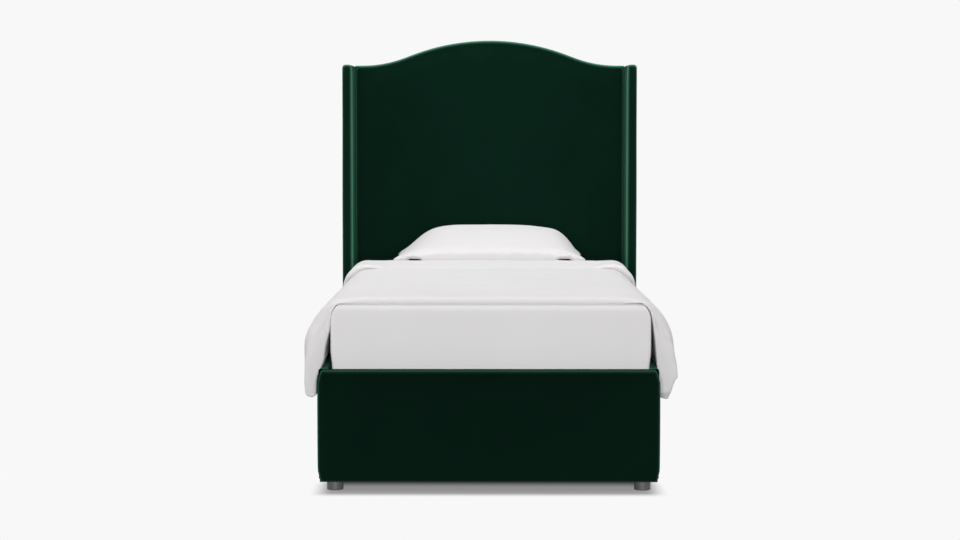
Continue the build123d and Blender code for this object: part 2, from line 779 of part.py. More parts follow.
with BuildPart() as fitted_sheet:
    with BuildSketch(Plane.XY.offset(mattress_seat)):
        with Locations((0, well_middle)):
            RectangleRounded(mattress_width + 2 * sheet_thickness, mattress_length + 2 * sheet_thickness,
                             mattress_corner + sheet_thickness)
    extrude(amount=sheet_top - mattress_seat)
    sheet_faces = fitted_sheet.faces().sort_by(Axis.Z)
    fillet(sheet_faces[-1].edges() + sheet_faces[0].edges(), radius=mattress_edge + sheet_thickness)
    add(mattress.part, mode=Mode.SUBTRACT)
    with BuildSketch(Plane.XY.offset(mattress_seat)):
        with Locations((0, well_middle)):
            RectangleRounded(mattress_width - 2 * sheet_tuck, mattress_length - 2 * sheet_tuck,
                             mattress_corner)
    extrude(amount=sheet_thickness, mode=Mode.SUBTRACT)
save(fitted_sheet, "fitted_sheet")

# ---------------------------------------------------------------- duvet
# A quilted cover laid over the mattress. Both sides hang outside the rails and stand out
# further at the foot, and the head end is folded back on itself.
duvet_bottom = sheet_top + rest_gap
duvet_top = duvet_bottom + duvet_top_thickness
duvet_foot = foot_inside + end_gap + duvet_foot_inset
pillow_middle = head_inside - pillow_head_gap - pillow_depth / 2
duvet_head = pillow_middle - pillow_depth / 2 - duvet_pillow_gap
duvet_length = duvet_head - duvet_foot
drape_inside = half_outside + drape_clearance


def drape_section(thickness, top, radius, y):
    """Cross-section of the duvet at y: top, rounded shoulders and both hanging sides."""
    with BuildSketch(front_plane(y)) as section:
        with BuildLine():
            outer = FilletPolyline((0, top), (drape_inside + thickness, top),
                                   (drape_inside + thickness, duvet_hem_height), radius=radius)
            inner = FilletPolyline((0, duvet_bottom), (drape_inside, duvet_bottom),
                                   (drape_inside, duvet_hem_height), radius=shoulder_inner_radius)
            Line(outer @ 1, inner @ 1)
            Line(outer @ 0, inner @ 0)
        make_face()
        mirror(about=Plane.YZ)
    return section.sketch


duvet_fold = duvet_head - fold_length
fold_share = fold_length / duvet_length
drape_fold_thickness = drape_head_thickness + fold_share * (drape_foot_thickness - drape_head_thickness)
shoulder_fold_radius = shoulder_head_radius + fold_share * (shoulder_foot_radius - shoulder_head_radius)
duvet_sections = [drape_section(drape_foot_thickness, duvet_top, shoulder_foot_radius, duvet_foot),
                  drape_section(drape_fold_thickness, duvet_top, shoulder_fold_radius, duvet_fold),
                  drape_section(drape_head_thickness, duvet_top + fold_rise, shoulder_head_radius,
                                duvet_head)]

with BuildPart() as duvet:
    loft([section.face() for section in duvet_sections], ruled=True)
save(duvet, "duvet")

# ---------------------------------------------------------------- pillow
pillow_seat = sheet_top + rest_gap
pillow_levels = ((0, pillow_base_inset, pillow_base_corner),
                 (pillow_seam_height, 0, pillow_seam_corner),
                 (pillow_swell_height, pillow_swell_inset, pillow_swell_corner),
                 (pillow_shoulder_height, pillow_shoulder_inset, pillow_shoulder_corner),
                 (pillow_height, pillow_crown_inset, pillow_crown_corner))

with BuildPart() as pillow:
    for level, inset, corner in pillow_levels:
        with BuildSketch(Plane.XY.offset(pillow_seat + level)):
            with Locations((0, pillow_middle)):
                RectangleRounded(pillow_width - 2 * inset, pillow_depth - 2 * inset, corner)
    loft(ruled=True)
save(pillow, "pillow")
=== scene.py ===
import bmesh
import bpy
from math import atan, cos, exp, pi, radians, sin, sqrt, tan
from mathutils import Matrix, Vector, noise


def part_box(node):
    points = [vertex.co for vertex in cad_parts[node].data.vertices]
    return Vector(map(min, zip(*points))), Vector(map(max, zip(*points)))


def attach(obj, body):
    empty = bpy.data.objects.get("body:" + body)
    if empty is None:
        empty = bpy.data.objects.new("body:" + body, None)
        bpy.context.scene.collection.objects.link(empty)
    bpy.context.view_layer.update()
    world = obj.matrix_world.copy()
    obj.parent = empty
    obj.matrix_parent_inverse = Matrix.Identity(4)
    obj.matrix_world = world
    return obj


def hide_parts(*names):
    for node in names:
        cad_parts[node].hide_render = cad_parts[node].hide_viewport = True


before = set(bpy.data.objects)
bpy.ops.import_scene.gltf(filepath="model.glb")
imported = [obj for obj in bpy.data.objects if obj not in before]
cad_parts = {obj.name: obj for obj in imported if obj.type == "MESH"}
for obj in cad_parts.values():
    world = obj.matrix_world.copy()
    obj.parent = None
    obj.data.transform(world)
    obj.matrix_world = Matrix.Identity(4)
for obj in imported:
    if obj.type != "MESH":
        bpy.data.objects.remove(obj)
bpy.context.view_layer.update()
bpy.context.scene.view_settings.view_transform = "Standard"


# -------- camera, light and floor
# A long lens beyond the foot end, a little above the bed and tipped slightly down. The light
# is soft and even from all round, with broad lamps above, beside and before the bed.
def let_go():
    """Leaves nothing selected."""
    bpy.ops.object.select_all(action="DESELECT")


let_go()
bpy.ops.object.camera_add(location=(0.0101, -7.749, 1.144),
                          rotation=(radians(85.915), 0, radians(0.308)))
camera = bpy.context.object
camera.name = "studio_camera"
camera.data.lens = 85
camera.data.sensor_width = 36
bpy.context.scene.camera = camera


def broad_lamp(name, place, target, width, height, power):
    """A soft rectangular lamp that faces a target."""
    bpy.ops.object.light_add(type="AREA", location=place)
    lamp = bpy.context.object
    lamp.name = name
    lamp.rotation_euler = (Vector(target) - Vector(place)).to_track_quat("-Z", "Y").to_euler()
    light = lamp.data
    light.shape = "RECTANGLE"
    light.size = width
    light.size_y = height
    light.energy = power


bed_middle = (0, 0, 0.5)
broad_lamp("overhead_lamp", (0, 0.45, 4.2), bed_middle, 4.5, 4.0, 124)
broad_lamp("side_lamp_left", (-3.6, -0.8, 2.2), bed_middle, 2.0, 2.0, 50)
broad_lamp("side_lamp_right", (3.6, -0.8, 2.2), bed_middle, 2.0, 2.0, 37)
broad_lamp("camera_lamp", (0, -9.0, 1.4), (0, 0, 0.7), 4.0, 2.0, 435)

paper_white = 0.9387
sky_light = 0.09

sky = bpy.data.worlds.new("studio_sky")
sky.use_nodes = True
bpy.context.scene.world = sky
sky_tree = sky.node_tree
sky_tree.nodes.clear()


def join_nodes(tree, *pairs):
    """Links node sockets, given as pairs of an output and an input."""
    for outlet, inlet in pairs:
        tree.links.new(outlet, inlet)


def set_inputs(node, values):
    """Sets a shader node's inputs by their names."""
    for name, value in values.items():
        node.inputs[name].default_value = value


def new_node(tree, kind, values=None):
    """A new shader node of a kind, with its inputs set where values are given."""
    node = tree.nodes.new("ShaderNode" + kind)
    set_inputs(node, values or {})
    return node


def worked_out(tree, operation, first, second=None):
    """A math node's result, from sockets or plain numbers."""
    node = new_node(tree, "Math")
    node.operation = operation
    for value, inlet in zip((first, second), node.inputs):
        if isinstance(value, (int, float)):
            inlet.default_value = value
        elif value is not None:
            join_nodes(tree, (value, inlet))
    return node.outputs[0]


def seen_directly(tree):
    """1 for what the camera, a reflection or a pane shows, 0 for light that falls on things."""
    path = new_node(tree, "LightPath").outputs
    shown = worked_out(tree, "MAXIMUM", path["Is Camera Ray"], path["Is Glossy Ray"])
    return worked_out(tree, "MAXIMUM", shown, path["Is Transmission Ray"])


def grey_node(tree, kind, grey):
    """A shader node of a grey or white."""
    return new_node(tree, kind, {"Color": (grey, grey, grey, 1)})


def blend(tree, share, first, second, output):
    """Shows a blend of two shader nodes, with a share of the second."""
    mix = new_node(tree, "MixShader")
    join_nodes(tree, (share, mix.inputs[0]), (first.outputs[0], mix.inputs[1]),
               (second.outputs[0], mix.inputs[2]),
               (mix.outputs[0], new_node(tree, output).inputs["Surface"]))


seen_sky = grey_node(sky_tree, "Background", paper_white)
lit_sky = grey_node(sky_tree, "Background", 1)
set_inputs(lit_sky, {"Strength": sky_light})
blend(sky_tree, seen_directly(sky_tree), lit_sky, seen_sky, "OutputWorld")

floor_clearance = 0.0004
# The paper's own grey, which the camera sees only inside the painted shadow.
floor_grey = 0.25

let_go()
bpy.ops.mesh.primitive_plane_add(size=60, location=(0, 0, -floor_clearance))
floor = bpy.context.object
floor.name = "studio_floor"
floor_finish = bpy.data.materials.new("studio_paper")
floor_finish.use_nodes = True
paper = floor_finish.node_tree
paper.nodes.clear()
place = new_node(paper, "TexCoord")
place_parts = new_node(paper, "SeparateXYZ")
join_nodes(paper, (place.outputs["Object"], place_parts.inputs[0]))


def fade_over(tree, value, low, high, first, last):
    """A smooth fade of a value from low to high into first to last."""
    fade = new_node(tree, "MapRange", {
        "From Min": low, "From Max": high, "To Min": first, "To Max": last})
    fade.interpolation_type = "SMOOTHSTEP"
    join_nodes(tree, (value, fade.inputs["Value"]))
    return fade.outputs["Result"]


# A painted shadow: under the bed and just before the foot end the paper's white glow gives way to
# a dark grey paper, which takes the real shade there, and it clears to white around.
# Behind the footboard it is narrower and deeper.
shadow_half = 0.465
shadow_narrowing = 0.05
shadow_front = -1.05
shadow_back = 1.0
painted_shadow_front_depth = 0.73
painted_shadow_under_depth = 0.97
along = place_parts.outputs["Y"]
aside = worked_out(paper, "ADD", worked_out(paper, "ABSOLUTE", place_parts.outputs["X"]),
                   fade_over(paper, along, -0.95, -0.65, 0.0, shadow_narrowing))
# The painted shadow's mask, from its sides, its front and back ends and its depth.
dark = fade_over(paper, aside, shadow_half, shadow_half + 0.075, 1.0, 0.0)
for fade in (fade_over(paper, along, shadow_front - 0.082, shadow_front, 0.0, 1.0),
             fade_over(paper, along, shadow_back, shadow_back + 0.3, 1.0, 0.0),
             fade_over(paper, along, -0.97, -0.84, painted_shadow_front_depth, painted_shadow_under_depth)):
    dark = worked_out(paper, "MULTIPLY", dark, fade)
clear = worked_out(paper, "SUBTRACT", 1.0, dark)
share = worked_out(paper, "MULTIPLY", clear, seen_directly(paper))
floor_paper = grey_node(paper, "BsdfDiffuse", floor_grey)
floor_glow = grey_node(paper, "Emission", paper_white)
blend(paper, share, floor_paper, floor_glow, "OutputMaterial")
floor.data.materials.append(floor_finish)

# -------- headboard
# A camelback panel: velvet pulled over foam on a timber frame and turned in round the back,
# where a dark cloth closes it. The bed's only tall piece, bolted between the wings.
board_low, board_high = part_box("headboard_cover")
half_width = board_high.x
board_bottom = board_low.z
board_front = board_low.y
board_back = board_high.y
crown_rise = 0.095
shoulder = board_high.z - crown_rise
half_span = 0.487
flank_straight = 0.038
crown_radius = 0.83
board_edge = 0.013
board_corner = 0.004
velvet_thickness = 0.0015
back_lip = 0.0315
board_swell = 0.003
swell_bottom = 0.4
board_columns = 69
board_rows = 85

slope = 2 * atan(crown_rise / (half_span + flank_straight))
flank_radius = (half_span - flank_straight * cos(slope)) / sin(slope) - crown_radius
crown_end = crown_radius * sin(slope)
flank_start = half_span - flank_radius * sin(slope)


def camelback(x):
    """Height of the headboard's top edge: crown arc, straight flank, hollow arc, shoulder."""
    x = abs(x)
    if x >= half_span:
        return shoulder
    if x <= crown_end:
        return shoulder + crown_rise - crown_radius + sqrt(crown_radius ** 2 - x ** 2)
    if x >= flank_start:
        return shoulder + flank_radius - sqrt(flank_radius ** 2 - (half_span - x) ** 2)
    end_height = shoulder + crown_rise - crown_radius * (1 - cos(slope))
    return end_height - (x - crown_end) * tan(slope)


hair = 1e-5


def on(value, place):
    """Whether a coordinate is at a place, within a hair's breadth."""
    return abs(value - place) < hair


def ease(value):
    """A smooth step from 0 to 1."""
    value = max(0.0, min(1.0, value))
    return value * value * (3 - 2 * value)


def pick(piece, kind, wanted, keep=lambda corners: True):
    """Selects the edges or faces whose corners all lie where wanted says, and that keep passes."""
    bpy.ops.mesh.select_mode(type={"edges": "EDGE", "faces": "FACE"}[kind])
    bpy.ops.mesh.select_all(action="DESELECT")
    mesh = bmesh.from_edit_mesh(piece.data)
    for element in getattr(mesh, kind):
        corners = [vertex.co for vertex in element.verts]
        if all(wanted(corner) for corner in corners) and keep(corners):
            element.select_set(True)
    mesh.select_flush_mode()
    bmesh.update_edit_mesh(piece.data)


def round_off(piece, radius, segments, wanted, keep=lambda corners: True):
    """Rounds the picked edges of the piece being edited."""
    pick(piece, "edges", wanted, keep)
    bpy.ops.mesh.bevel(offset=radius, segments=segments, profile=0.5)


def take(piece):
    """Selects one piece alone and makes it the active one."""
    let_go()
    piece.select_set(True)
    bpy.context.view_layer.objects.active = piece


def shaping(start):
    """Starts or ends the shaping of a piece's mesh."""
    bpy.ops.object.mode_set(mode="EDIT" if start else "OBJECT")


def turn_outwards():
    """Points the faces of the piece being edited outwards."""
    bpy.ops.mesh.select_all(action="SELECT")
    bpy.ops.mesh.normals_make_consistent(inside=False)


def sized(piece):
    """Puts a new piece's place, turn and size into its mesh."""
    take(piece)
    bpy.ops.object.transform_apply()


def give_thickness(piece, thickness):
    """Gives cloth its thickness, inwards from the outer face."""
    wall = piece.modifiers.new("cloth", "SOLIDIFY")
    wall.thickness = thickness
    wall.offset = -1
    bpy.ops.object.modifier_apply(modifier=wall.name)


def dress(piece, finish, body, slot, *nodes):
    """Shades a finished piece, gives it its material and hangs it on its body."""
    bpy.ops.object.shade_smooth_by_angle(angle=radians(50))
    piece.data.materials.clear()
    piece.data.materials.append(finish)
    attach(piece, body)
    if nodes:
        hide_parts(*nodes)
    let_go()


def new_finish(name, roughness, specular):
    """A material with its shader and its place coordinates."""
    finish = bpy.data.materials.new(name)
    finish.use_nodes = True
    tree = finish.node_tree
    shader = tree.nodes["Principled BSDF"]
    set_inputs(shader, {"Roughness": roughness, "Specular IOR Level": specular})
    place = new_node(tree, "TexCoord").outputs["Object"]
    return finish, tree, shader, place


def placed_node(tree, kind, place, values):
    """A shader node that works on place coordinates, with its inputs set."""
    node = new_node(tree, kind, values)
    join_nodes(tree, (place, node.inputs["Vector"]))
    return node


def stretched(tree, place, scale):
    """Coordinates stretched along an axis, for grain, naps and threads."""
    return placed_node(tree, "Mapping", place, {"Scale": scale}).outputs["Vector"]


def speckle(tree, place, scale, detail=3, roughness=0.5, distortion=0):
    """A noise texture's value at a scale."""
    texture = placed_node(tree, "TexNoise", place, {
        "Scale": scale, "Detail": detail, "Roughness": roughness, "Distortion": distortion})
    return texture.outputs["Fac"]


def shades(tree, value, *stops):
    """Colour from a value, by stops of (place, colour)."""
    ramp = new_node(tree, "ValToRGB")
    while len(ramp.color_ramp.elements) < len(stops):
        ramp.color_ramp.elements.new(0.5)
    for element, (position, colour) in zip(ramp.color_ramp.elements, stops):
        element.position = position
        element.color = (*colour, 1)
    join_nodes(tree, (value, ramp.inputs["Fac"]))
    return ramp.outputs["Color"]


def coat(tree, shader, colour, bump):
    """Gives a shader its colour and its bump."""
    join_nodes(tree, (colour, shader.inputs["Base Color"]), (bump, shader.inputs["Normal"]))


def relief(tree, height, distance, strength, under=None):
    """Bump from a height value, over another bump where one is given."""
    bump = new_node(tree, "Bump", {"Distance": distance, "Strength": strength})
    join_nodes(tree, (height, bump.inputs["Height"]))
    if under is not None:
        join_nodes(tree, (under, bump.inputs["Normal"]))
    return bump.outputs["Normal"]


# Velvet: a dense short pile, nearly black green face on, with a nap that lies a little unevenly.
# Its colour is painted lighter wherever the cloth turns from the view: a painted sheen, over a
# faint real sheen. The footboard's copy is darker face on with less of it, painted shade, and the
# rails' copy keeps more of it where the cloth is seen along, painted sheen.
def pile_cloth(name, face, painted_and_real_sheen, painted_graze_sheen=0.36):
    """Velvet, by its face-on tone and by its painted sheen where it turns away and where it is
    seen along the cloth.
    """
    finish, tree, shader, place = new_finish(name, 0.95, 0.0)
    pile = relief(tree, speckle(tree, place, 900, 2, 0.6), 0.0005, 0.25)
    strokes = speckle(tree, stretched(tree, place, (1, 1, 0.35)), 38, 3, 0.6)
    brushed = relief(tree, strokes, 0.001, 0.1, pile)
    # The colour follows how far the surface turns from the view: a painted sheen.
    slant = new_node(tree, "LayerWeight", {"Blend": 0.5})
    pale = (0.06, 0.19, 0.124)
    tones = [(0.0, (0.0023, 0.0125, 0.0074), face), (0.02, (0.004, 0.0185, 0.0112), face),
             (0.11, (0.013, 0.046, 0.029), painted_and_real_sheen), (0.3, (0.052, 0.168, 0.11), painted_and_real_sheen),
             (0.5, pale, 1.3 * painted_and_real_sheen), (0.68, pale, 1.1 * painted_and_real_sheen), (0.9, pale, painted_graze_sheen * painted_and_real_sheen)]
    stops = [(turned, [part * share for part in colour]) for turned, colour, share in tones]
    painted_sheen_tone = shades(tree, slant.outputs["Facing"], *stops)
    nap = speckle(tree, stretched(tree, place, (1.0, 1.0, 0.6)), 5.0, 4, 0.55, 0.4)
    nap_shade = shades(tree, nap, (0.32, (0.86, 0.86, 0.86)), (0.68, (1.0, 1.0, 1.0)))
    colour = new_node(tree, "Mix", {"Factor": 1.0})
    colour.data_type = "RGBA"
    colour.blend_type = "MULTIPLY"
    join_nodes(tree, (brushed, slant.inputs["Normal"]), (painted_sheen_tone, colour.inputs[6]),
               (nap_shade, colour.inputs[7]))
    coat(tree, shader, colour.outputs[2], brushed)
    set_inputs(shader, {"Sheen Weight": 0.1 * painted_and_real_sheen, "Sheen Roughness": 0.45,
                        "Sheen Tint": (0.1, 0.32, 0.2, 1)})
    return finish


velvet = pile_cloth("green_velvet", 1.42, 1.0)

let_go()
bpy.ops.mesh.primitive_grid_add(x_subdivisions=board_columns, y_subdivisions=board_rows, size=1,
                                location=(0, board_front, (board_bottom + shoulder) / 2),
                                rotation=(pi / 2, 0, 0))
headboard = bpy.context.object
headboard.name = "headboard_velvet"
headboard.scale = (2 * half_width, shoulder - board_bottom, 1)
sized(headboard)
for vertex in headboard.data.vertices:
    x, _, z = vertex.co
    up = (z - board_bottom) / (shoulder - board_bottom)
    vertex.co.z = board_bottom + up * (camelback(x) - board_bottom)
shaping(True)
bpy.ops.mesh.select_all(action="SELECT")
bpy.ops.mesh.extrude_region_move(
    TRANSFORM_OT_translate={"value": (0, board_back - board_front, 0)})
bpy.ops.mesh.delete(type="FACE")
turn_outwards()
pick(headboard, "edges", lambda p: on(p.y, board_back))
bpy.ops.mesh.edge_face_add()
bpy.ops.mesh.inset(thickness=back_lip, depth=0)
bpy.ops.mesh.select_mode(type="FACE")
bpy.ops.mesh.duplicate()
bpy.ops.mesh.separate(type="SELECTED")
back_cloth = [piece for piece in bpy.context.selected_objects if piece is not headboard][0]
back_cloth.name = "headboard_back_cloth_sheet"


def on_rim(p):
    """On the front's outline, its rounded upper corners included."""
    if not on(p.y, board_front):
        return False
    in_corner = (p.z > shoulder - board_corner - hair
                 and abs(p.x) > half_width - board_corner - hair)
    return (in_corner or on(abs(p.x), half_width) or on(p.z, board_bottom)
            or on(p.z, camelback(p.x)))


# The one face with many corners closed the back; the velvet ends at the lip round it.
pick(headboard, "faces", lambda p: True, lambda corners: len(corners) > 50)
bpy.ops.mesh.delete(type="FACE")
round_off(headboard, board_corner, 4, lambda p: on(p.z, shoulder) and on(abs(p.x), half_width))
round_off(headboard, board_edge, 6, on_rim)
turn_outwards()
shaping(False)
for vertex in headboard.data.vertices:
    x, y, z = vertex.co
    if y < board_front + 1e-4 and z > swell_bottom:
        across = max(0, 1 - (x / (half_width - board_edge)) ** 6)
        below_top = camelback(x) - board_edge - z
        up = max(0, min(1, (z - swell_bottom) / 0.15)) * max(0, min(1, below_top / 0.06))
        vertex.co.y = y - board_swell * across * ease(up)
take(headboard)
give_thickness(headboard, velvet_thickness)
dress(headboard, velvet, "bed_frame", "velvet", "headboard_cover")

# -------- back cloth
# Thin black spunbond cloth, stretched over the open back inside the turned-in velvet and
# stapled to the frame.
strip_height = 0.035
strips = 40

back_finish, tree, shader, place = new_finish("black_spunbond", 0.95, 0.1)
fibres = speckle(tree, place, 260, 5, 0.75, 1.2)
coat(tree, shader, shades(tree, fibres, (0.35, (0.01, 0.01, 0.011)),
                          (0.65, (0.028, 0.028, 0.03))), relief(tree, fibres, 0.0004, 0.5))


def slices(axis, places):
    """Cuts right through the piece being edited, across an axis at each place."""
    normal = [0, 0, 0]
    normal[axis] = 1
    for place in places:
        origin = [0, 0, 0]
        origin[axis] = place
        bpy.ops.mesh.select_all(action="SELECT")
        bpy.ops.mesh.bisect(plane_co=origin, plane_no=normal)


take(back_cloth)
shaping(True)
slices(2, [board_bottom + step * strip_height for step in range(1, strips)])
turn_outwards()
shaping(False)
if back_cloth.data.polygons[0].normal.y < 0:
    back_cloth.data.flip_normals()
give_thickness(back_cloth, velvet_thickness)
dress(back_cloth, back_finish, "bed_frame", "back_cloth", "headboard_back_cloth")


# -------- wings
# Two straight wings, each a board wrapped in foam in a sewn velvet bag, standing from the
# floor clearance to the headboard's shoulders. Bolted through the headboard's stiles.
def block(name, low, high):
    """A block between two corners, left in edit mode."""
    let_go()
    bpy.ops.mesh.primitive_cube_add(size=1, location=[(a + b) / 2 for a, b in zip(low, high)])
    piece = bpy.context.object
    piece.name = name
    piece.scale = [abs(b - a) for a, b in zip(low, high)]
    sized(piece)
    shaping(True)
    return piece


def steps_between(first, last, count):
    """Evenly spaced places inside first and last."""
    return [first + (last - first) * step / (count + 1) for step in range(1, count + 1)]


def runs(ends, axis):
    """Whether an edge runs a long way along an axis."""
    return abs(ends[0][axis] - ends[1][axis]) > 0.1


wing_low, wing_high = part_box("wing_cover_right")
wing_inside = wing_low.x
wing_outside = wing_high.x
wing_front = wing_low.y
wing_back = wing_high.y
wing_edge = 0.012
wing_back_edge = 0.003
wing_sharpness = 0.45
wing_swell = 0.004
wing_swell_bottom = 0.42
wing_lean = 0.0013
wing_lean_top = 1.12
wing_lean_bottom = 0.03
sides = ((-1, "left"), (1, "right"))

for side, side_name in sides:
    wing = block(f"wing_velvet_{side_name}", (side * wing_inside, wing_front, board_bottom),
                 (side * wing_outside, wing_back, shoulder))
    round_off(wing, wing_edge, 8, lambda p: on(p.y, wing_front) or on(p.z, shoulder),
              lambda ends: not (all(on(p.z, board_bottom) for p in ends)
                                or all(on(p.y, wing_back) for p in ends)))
    round_off(wing, wing_back_edge, 2, lambda p: on(p.y, wing_back), lambda ends: runs(ends, 2))
    slices(2, steps_between(board_bottom, shoulder - wing_edge, 40))
    slices(1, steps_between(wing_front + wing_edge, wing_back, 14))
    shaping(False)
    for vertex in wing.data.vertices:
        x, y, z = vertex.co
        ahead = (wing_front + wing_edge - y) / wing_edge
        aside = (abs(x) - wing_outside + wing_edge) / wing_edge
        if ahead > 0 and aside > 0 and z < shoulder - wing_edge + hair:
            vertex.co.y = wing_front + wing_edge * (1 - ahead ** wing_sharpness)
            vertex.co.x = side * (wing_outside - wing_edge * (1 - aside ** wing_sharpness))
        plump = ease((y - wing_front) / 0.022) * ease((board_front - 0.004 - y) / 0.06)
        plump *= ease((z - wing_swell_bottom) / 0.1) * ease((shoulder + 0.004 - z) / 0.035)
        inward = max(0.0, (wing_outside - abs(x)) / (wing_outside - wing_inside))
        lean = wing_lean * ease((wing_lean_top - z) / 0.35) * ease((z - wing_lean_bottom) / 0.3)
        vertex.co.x += side * (lean * (1 - inward) ** 3 - wing_swell * plump * inward ** 3)
    give_thickness(wing, velvet_thickness)
    dress(wing, velvet, "bed_frame", "velvet", f"wing_cover_{side_name}")

# -------- side rails
# Low panel rails: a board with thin foam outside, wrapped in velvet. They hook onto slotted
# plates on the footboard and the headboard.
rail_low, rail_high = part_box("side_rail_cover_right")
rail_inside = rail_low.x
rail_outside = rail_high.x
rail_foot = rail_low.y
rail_head = rail_high.y
panel_top = rail_high.z
rail_edge = 0.007
rail_swell = 0.0012

# The rails' copy of the velvet is painted lighter where the cloth is seen along it, so the shaded
# rail tops look lit: painted sheen.
rail_velvet_sheen_painted = pile_cloth("green_velvet_rail_painted_sheen", 1.42, 1.0, 1.3)
for side, side_name in sides:
    inner = side * rail_inside
    outer = side * rail_outside
    rail = block(f"side_rail_velvet_{side_name}", (inner, rail_foot, board_bottom),
                 (outer, rail_head, panel_top))
    for edge_x, radius, segments in ((outer, rail_edge, 5), (inner, rail_edge / 2, 3)):
        round_off(rail, radius, segments, lambda p: on(p.x, edge_x), lambda ends: runs(ends, 1))
    slices(1, steps_between(rail_foot, rail_head, 30))
    slices(2, steps_between(board_bottom + rail_edge, panel_top - rail_edge, 6))
    shaping(False)
    for vertex in rail.data.vertices:
        x, y, z = vertex.co
        if on(x, outer):
            up = 1 - ((2 * z - board_bottom - panel_top) / (panel_top - board_bottom)) ** 4
            vertex.co.x += side * rail_swell * max(0, up)
    give_thickness(rail, velvet_thickness)
    dress(rail, rail_velvet_sheen_painted, "bed_frame", "velvet", f"side_rail_cover_{side_name}")

# -------- footboard
# A low padded panel across the foot end: a timber core with foam on its face, both wrapped in
# velvet. Softest at its outer face, rounded at its ends and drawn in at its corners.
foot_low, foot_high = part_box("footboard_cover")
foot_front = foot_low.y
foot_back = foot_high.y
foot_roll = 0.0135
foot_under = 0.008
foot_end = 0.0105
foot_swell = 0.003
corner_pull = 0.007
heel_pull = 0.006
pull_height = 0.034
pull_length = 0.045


def footboard_form(name, inset, front, back, rolled):
    """The padded panel's form between two planes, smaller all round by an inset."""
    half = rail_outside - inset
    bottom = board_bottom + inset
    top = panel_top - inset
    piece = block(name, (-half, front, bottom), (half, back, top))
    if rolled:
        round_off(piece, foot_roll - inset, 10, lambda p: on(p.y, front) and on(p.z, top))
        round_off(piece, foot_under - inset, 7, lambda p: on(p.y, front) and on(p.z, bottom))
    if inset == 0:
        round_off(piece, foot_under, 7, lambda p: on(p.y, back) and on(p.z, top))
    round_off(piece, foot_end - inset, 6, lambda p: on(abs(p.x), half) and not on(p.z, bottom),
              lambda ends: not (all(on(p.y, back) for p in ends) or runs(ends, 0)))
    slices(0, steps_between(-half + foot_end, half - foot_end, 60))
    slices(0, [side * (half - gap) for side in (-1, 1) for gap in (0.01, 0.015, 0.022, 0.03)])
    slices(2, steps_between(bottom + foot_under, top - foot_roll, 26))
    shaping(False)
    for vertex in piece.data.vertices:
        x, y, z = vertex.co
        up = max(0, 1 - abs((2 * z - board_bottom - panel_top) / (panel_top - board_bottom)) ** 3)
        across = max(0, 1 - (x / rail_outside) ** 10)
        at_end = ease((abs(x) - rail_outside + pull_length) / pull_length)
        ahead = max(0, (core_front - y) / (core_front - foot_front))
        vertex.co.y -= foot_swell * up * across * ahead
        pull = corner_pull * (1 - ease((panel_top - z - 0.006) / pull_height))
        pull += heel_pull * (1 - ease((z - board_bottom - 0.004) / pull_height))
        vertex.co.x -= (1 if x > 0 else -1) * (pull - 0.0012 * up) * at_end
    return piece


core_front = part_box("footboard_core")[0].y
footboard = footboard_form("footboard_velvet", 0, foot_front, foot_back, True)
give_thickness(footboard, velvet_thickness)
# The footboard's copy of the velvet is darker face on, with weaker painted sheen: painted shade.
dress(footboard, pile_cloth("green_velvet_painted_shade", 0.85, 0.35), "bed_frame", "velvet",
      "footboard_cover")

# -------- mattress
# A sprung mattress in a woven ticking, with soft rounded long edges. It sinks between the
# rails onto the slats and is covered by its sheet.
mattress_low, mattress_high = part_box("mattress")
mattress_half = mattress_high.x
mattress_foot = mattress_low.y
mattress_head = mattress_high.y
mattress_bottom = mattress_low.z
mattress_top = mattress_high.z
mattress_corner = 0.05
upright_corner = 0.016
askew = 0.006
mattress_edge = 0.025
round_across = 0.041
round_down = 0.062
squeeze = 0.0052
squeeze_top = 0.42
squeeze_height = 0.065
squeeze_from = 0.4


def mattress_form(name, grow):
    """The mattress's outer form, grown by a cloth's thickness, left in object mode."""
    low = (-mattress_half - grow, mattress_foot - grow, mattress_bottom - grow)
    high = (mattress_half + grow, mattress_head + grow, mattress_top + grow)
    piece = block(name, low, high)
    round_off(piece, upright_corner + grow, 8, lambda p: True, lambda ends: runs(ends, 2))
    round_off(piece, mattress_edge + grow, 7, lambda p: True, lambda ends: not runs(ends, 2))
    slices(2, steps_between(low[2] + mattress_edge, high[2] - mattress_edge, 12))
    cuts = (0.1, 0.2, 0.3, 0.4, 0.441, 0.455, 0.468)
    slices(0, [-grow - x for x in reversed(cuts)] + [grow + x for x in cuts])
    slices(1, steps_between(low[1] + mattress_corner, high[1] - mattress_corner, 24))
    shaping(False)
    for vertex in piece.data.vertices:
        x, y, z = vertex.co
        side = 1 if x > 0 else -1
        across = (abs(x) - (high[0] - round_across)) / round_across
        down = (z - (high[2] - round_down)) / round_down
        if across > 0 and down > 0:
            out = sqrt(across * across + down * down)
            if out > 1:
                vertex.co.x = side * (high[0] - round_across + round_across * across / out)
                vertex.co.z = high[2] - round_down + round_down * down / out
        if z < squeeze_top and abs(x) > squeeze_from:
            aside = (abs(x) - squeeze_from) / (mattress_half - squeeze_from)
            vertex.co.x -= side * squeeze * ease((squeeze_top - z) / squeeze_height) * aside
        straighter = 1 - 0.6 * ease((y - low[1]) / 1.2)
        vertex.co.x += askew * ease((z - mattress_bottom) / 0.03) * straighter
    return piece


def stripes(tree, place, direction, scale, distortion=0):
    """A wave texture's value, in bands across an axis."""
    wave = placed_node(tree, "TexWave", place, {"Scale": scale, "Distortion": distortion})
    wave.bands_direction = direction
    return wave.outputs["Fac"]


ticking, tree, shader, place = new_finish("mattress_ticking", 0.9, 0.15)
coat(tree, shader, shades(tree, stripes(tree, place, "X", 9), (0.4, (0.6, 0.6, 0.58)),
                          (0.6, (0.68, 0.68, 0.66))),
     relief(tree, speckle(tree, place, 700, 2, 0.5), 0.0004, 0.4))

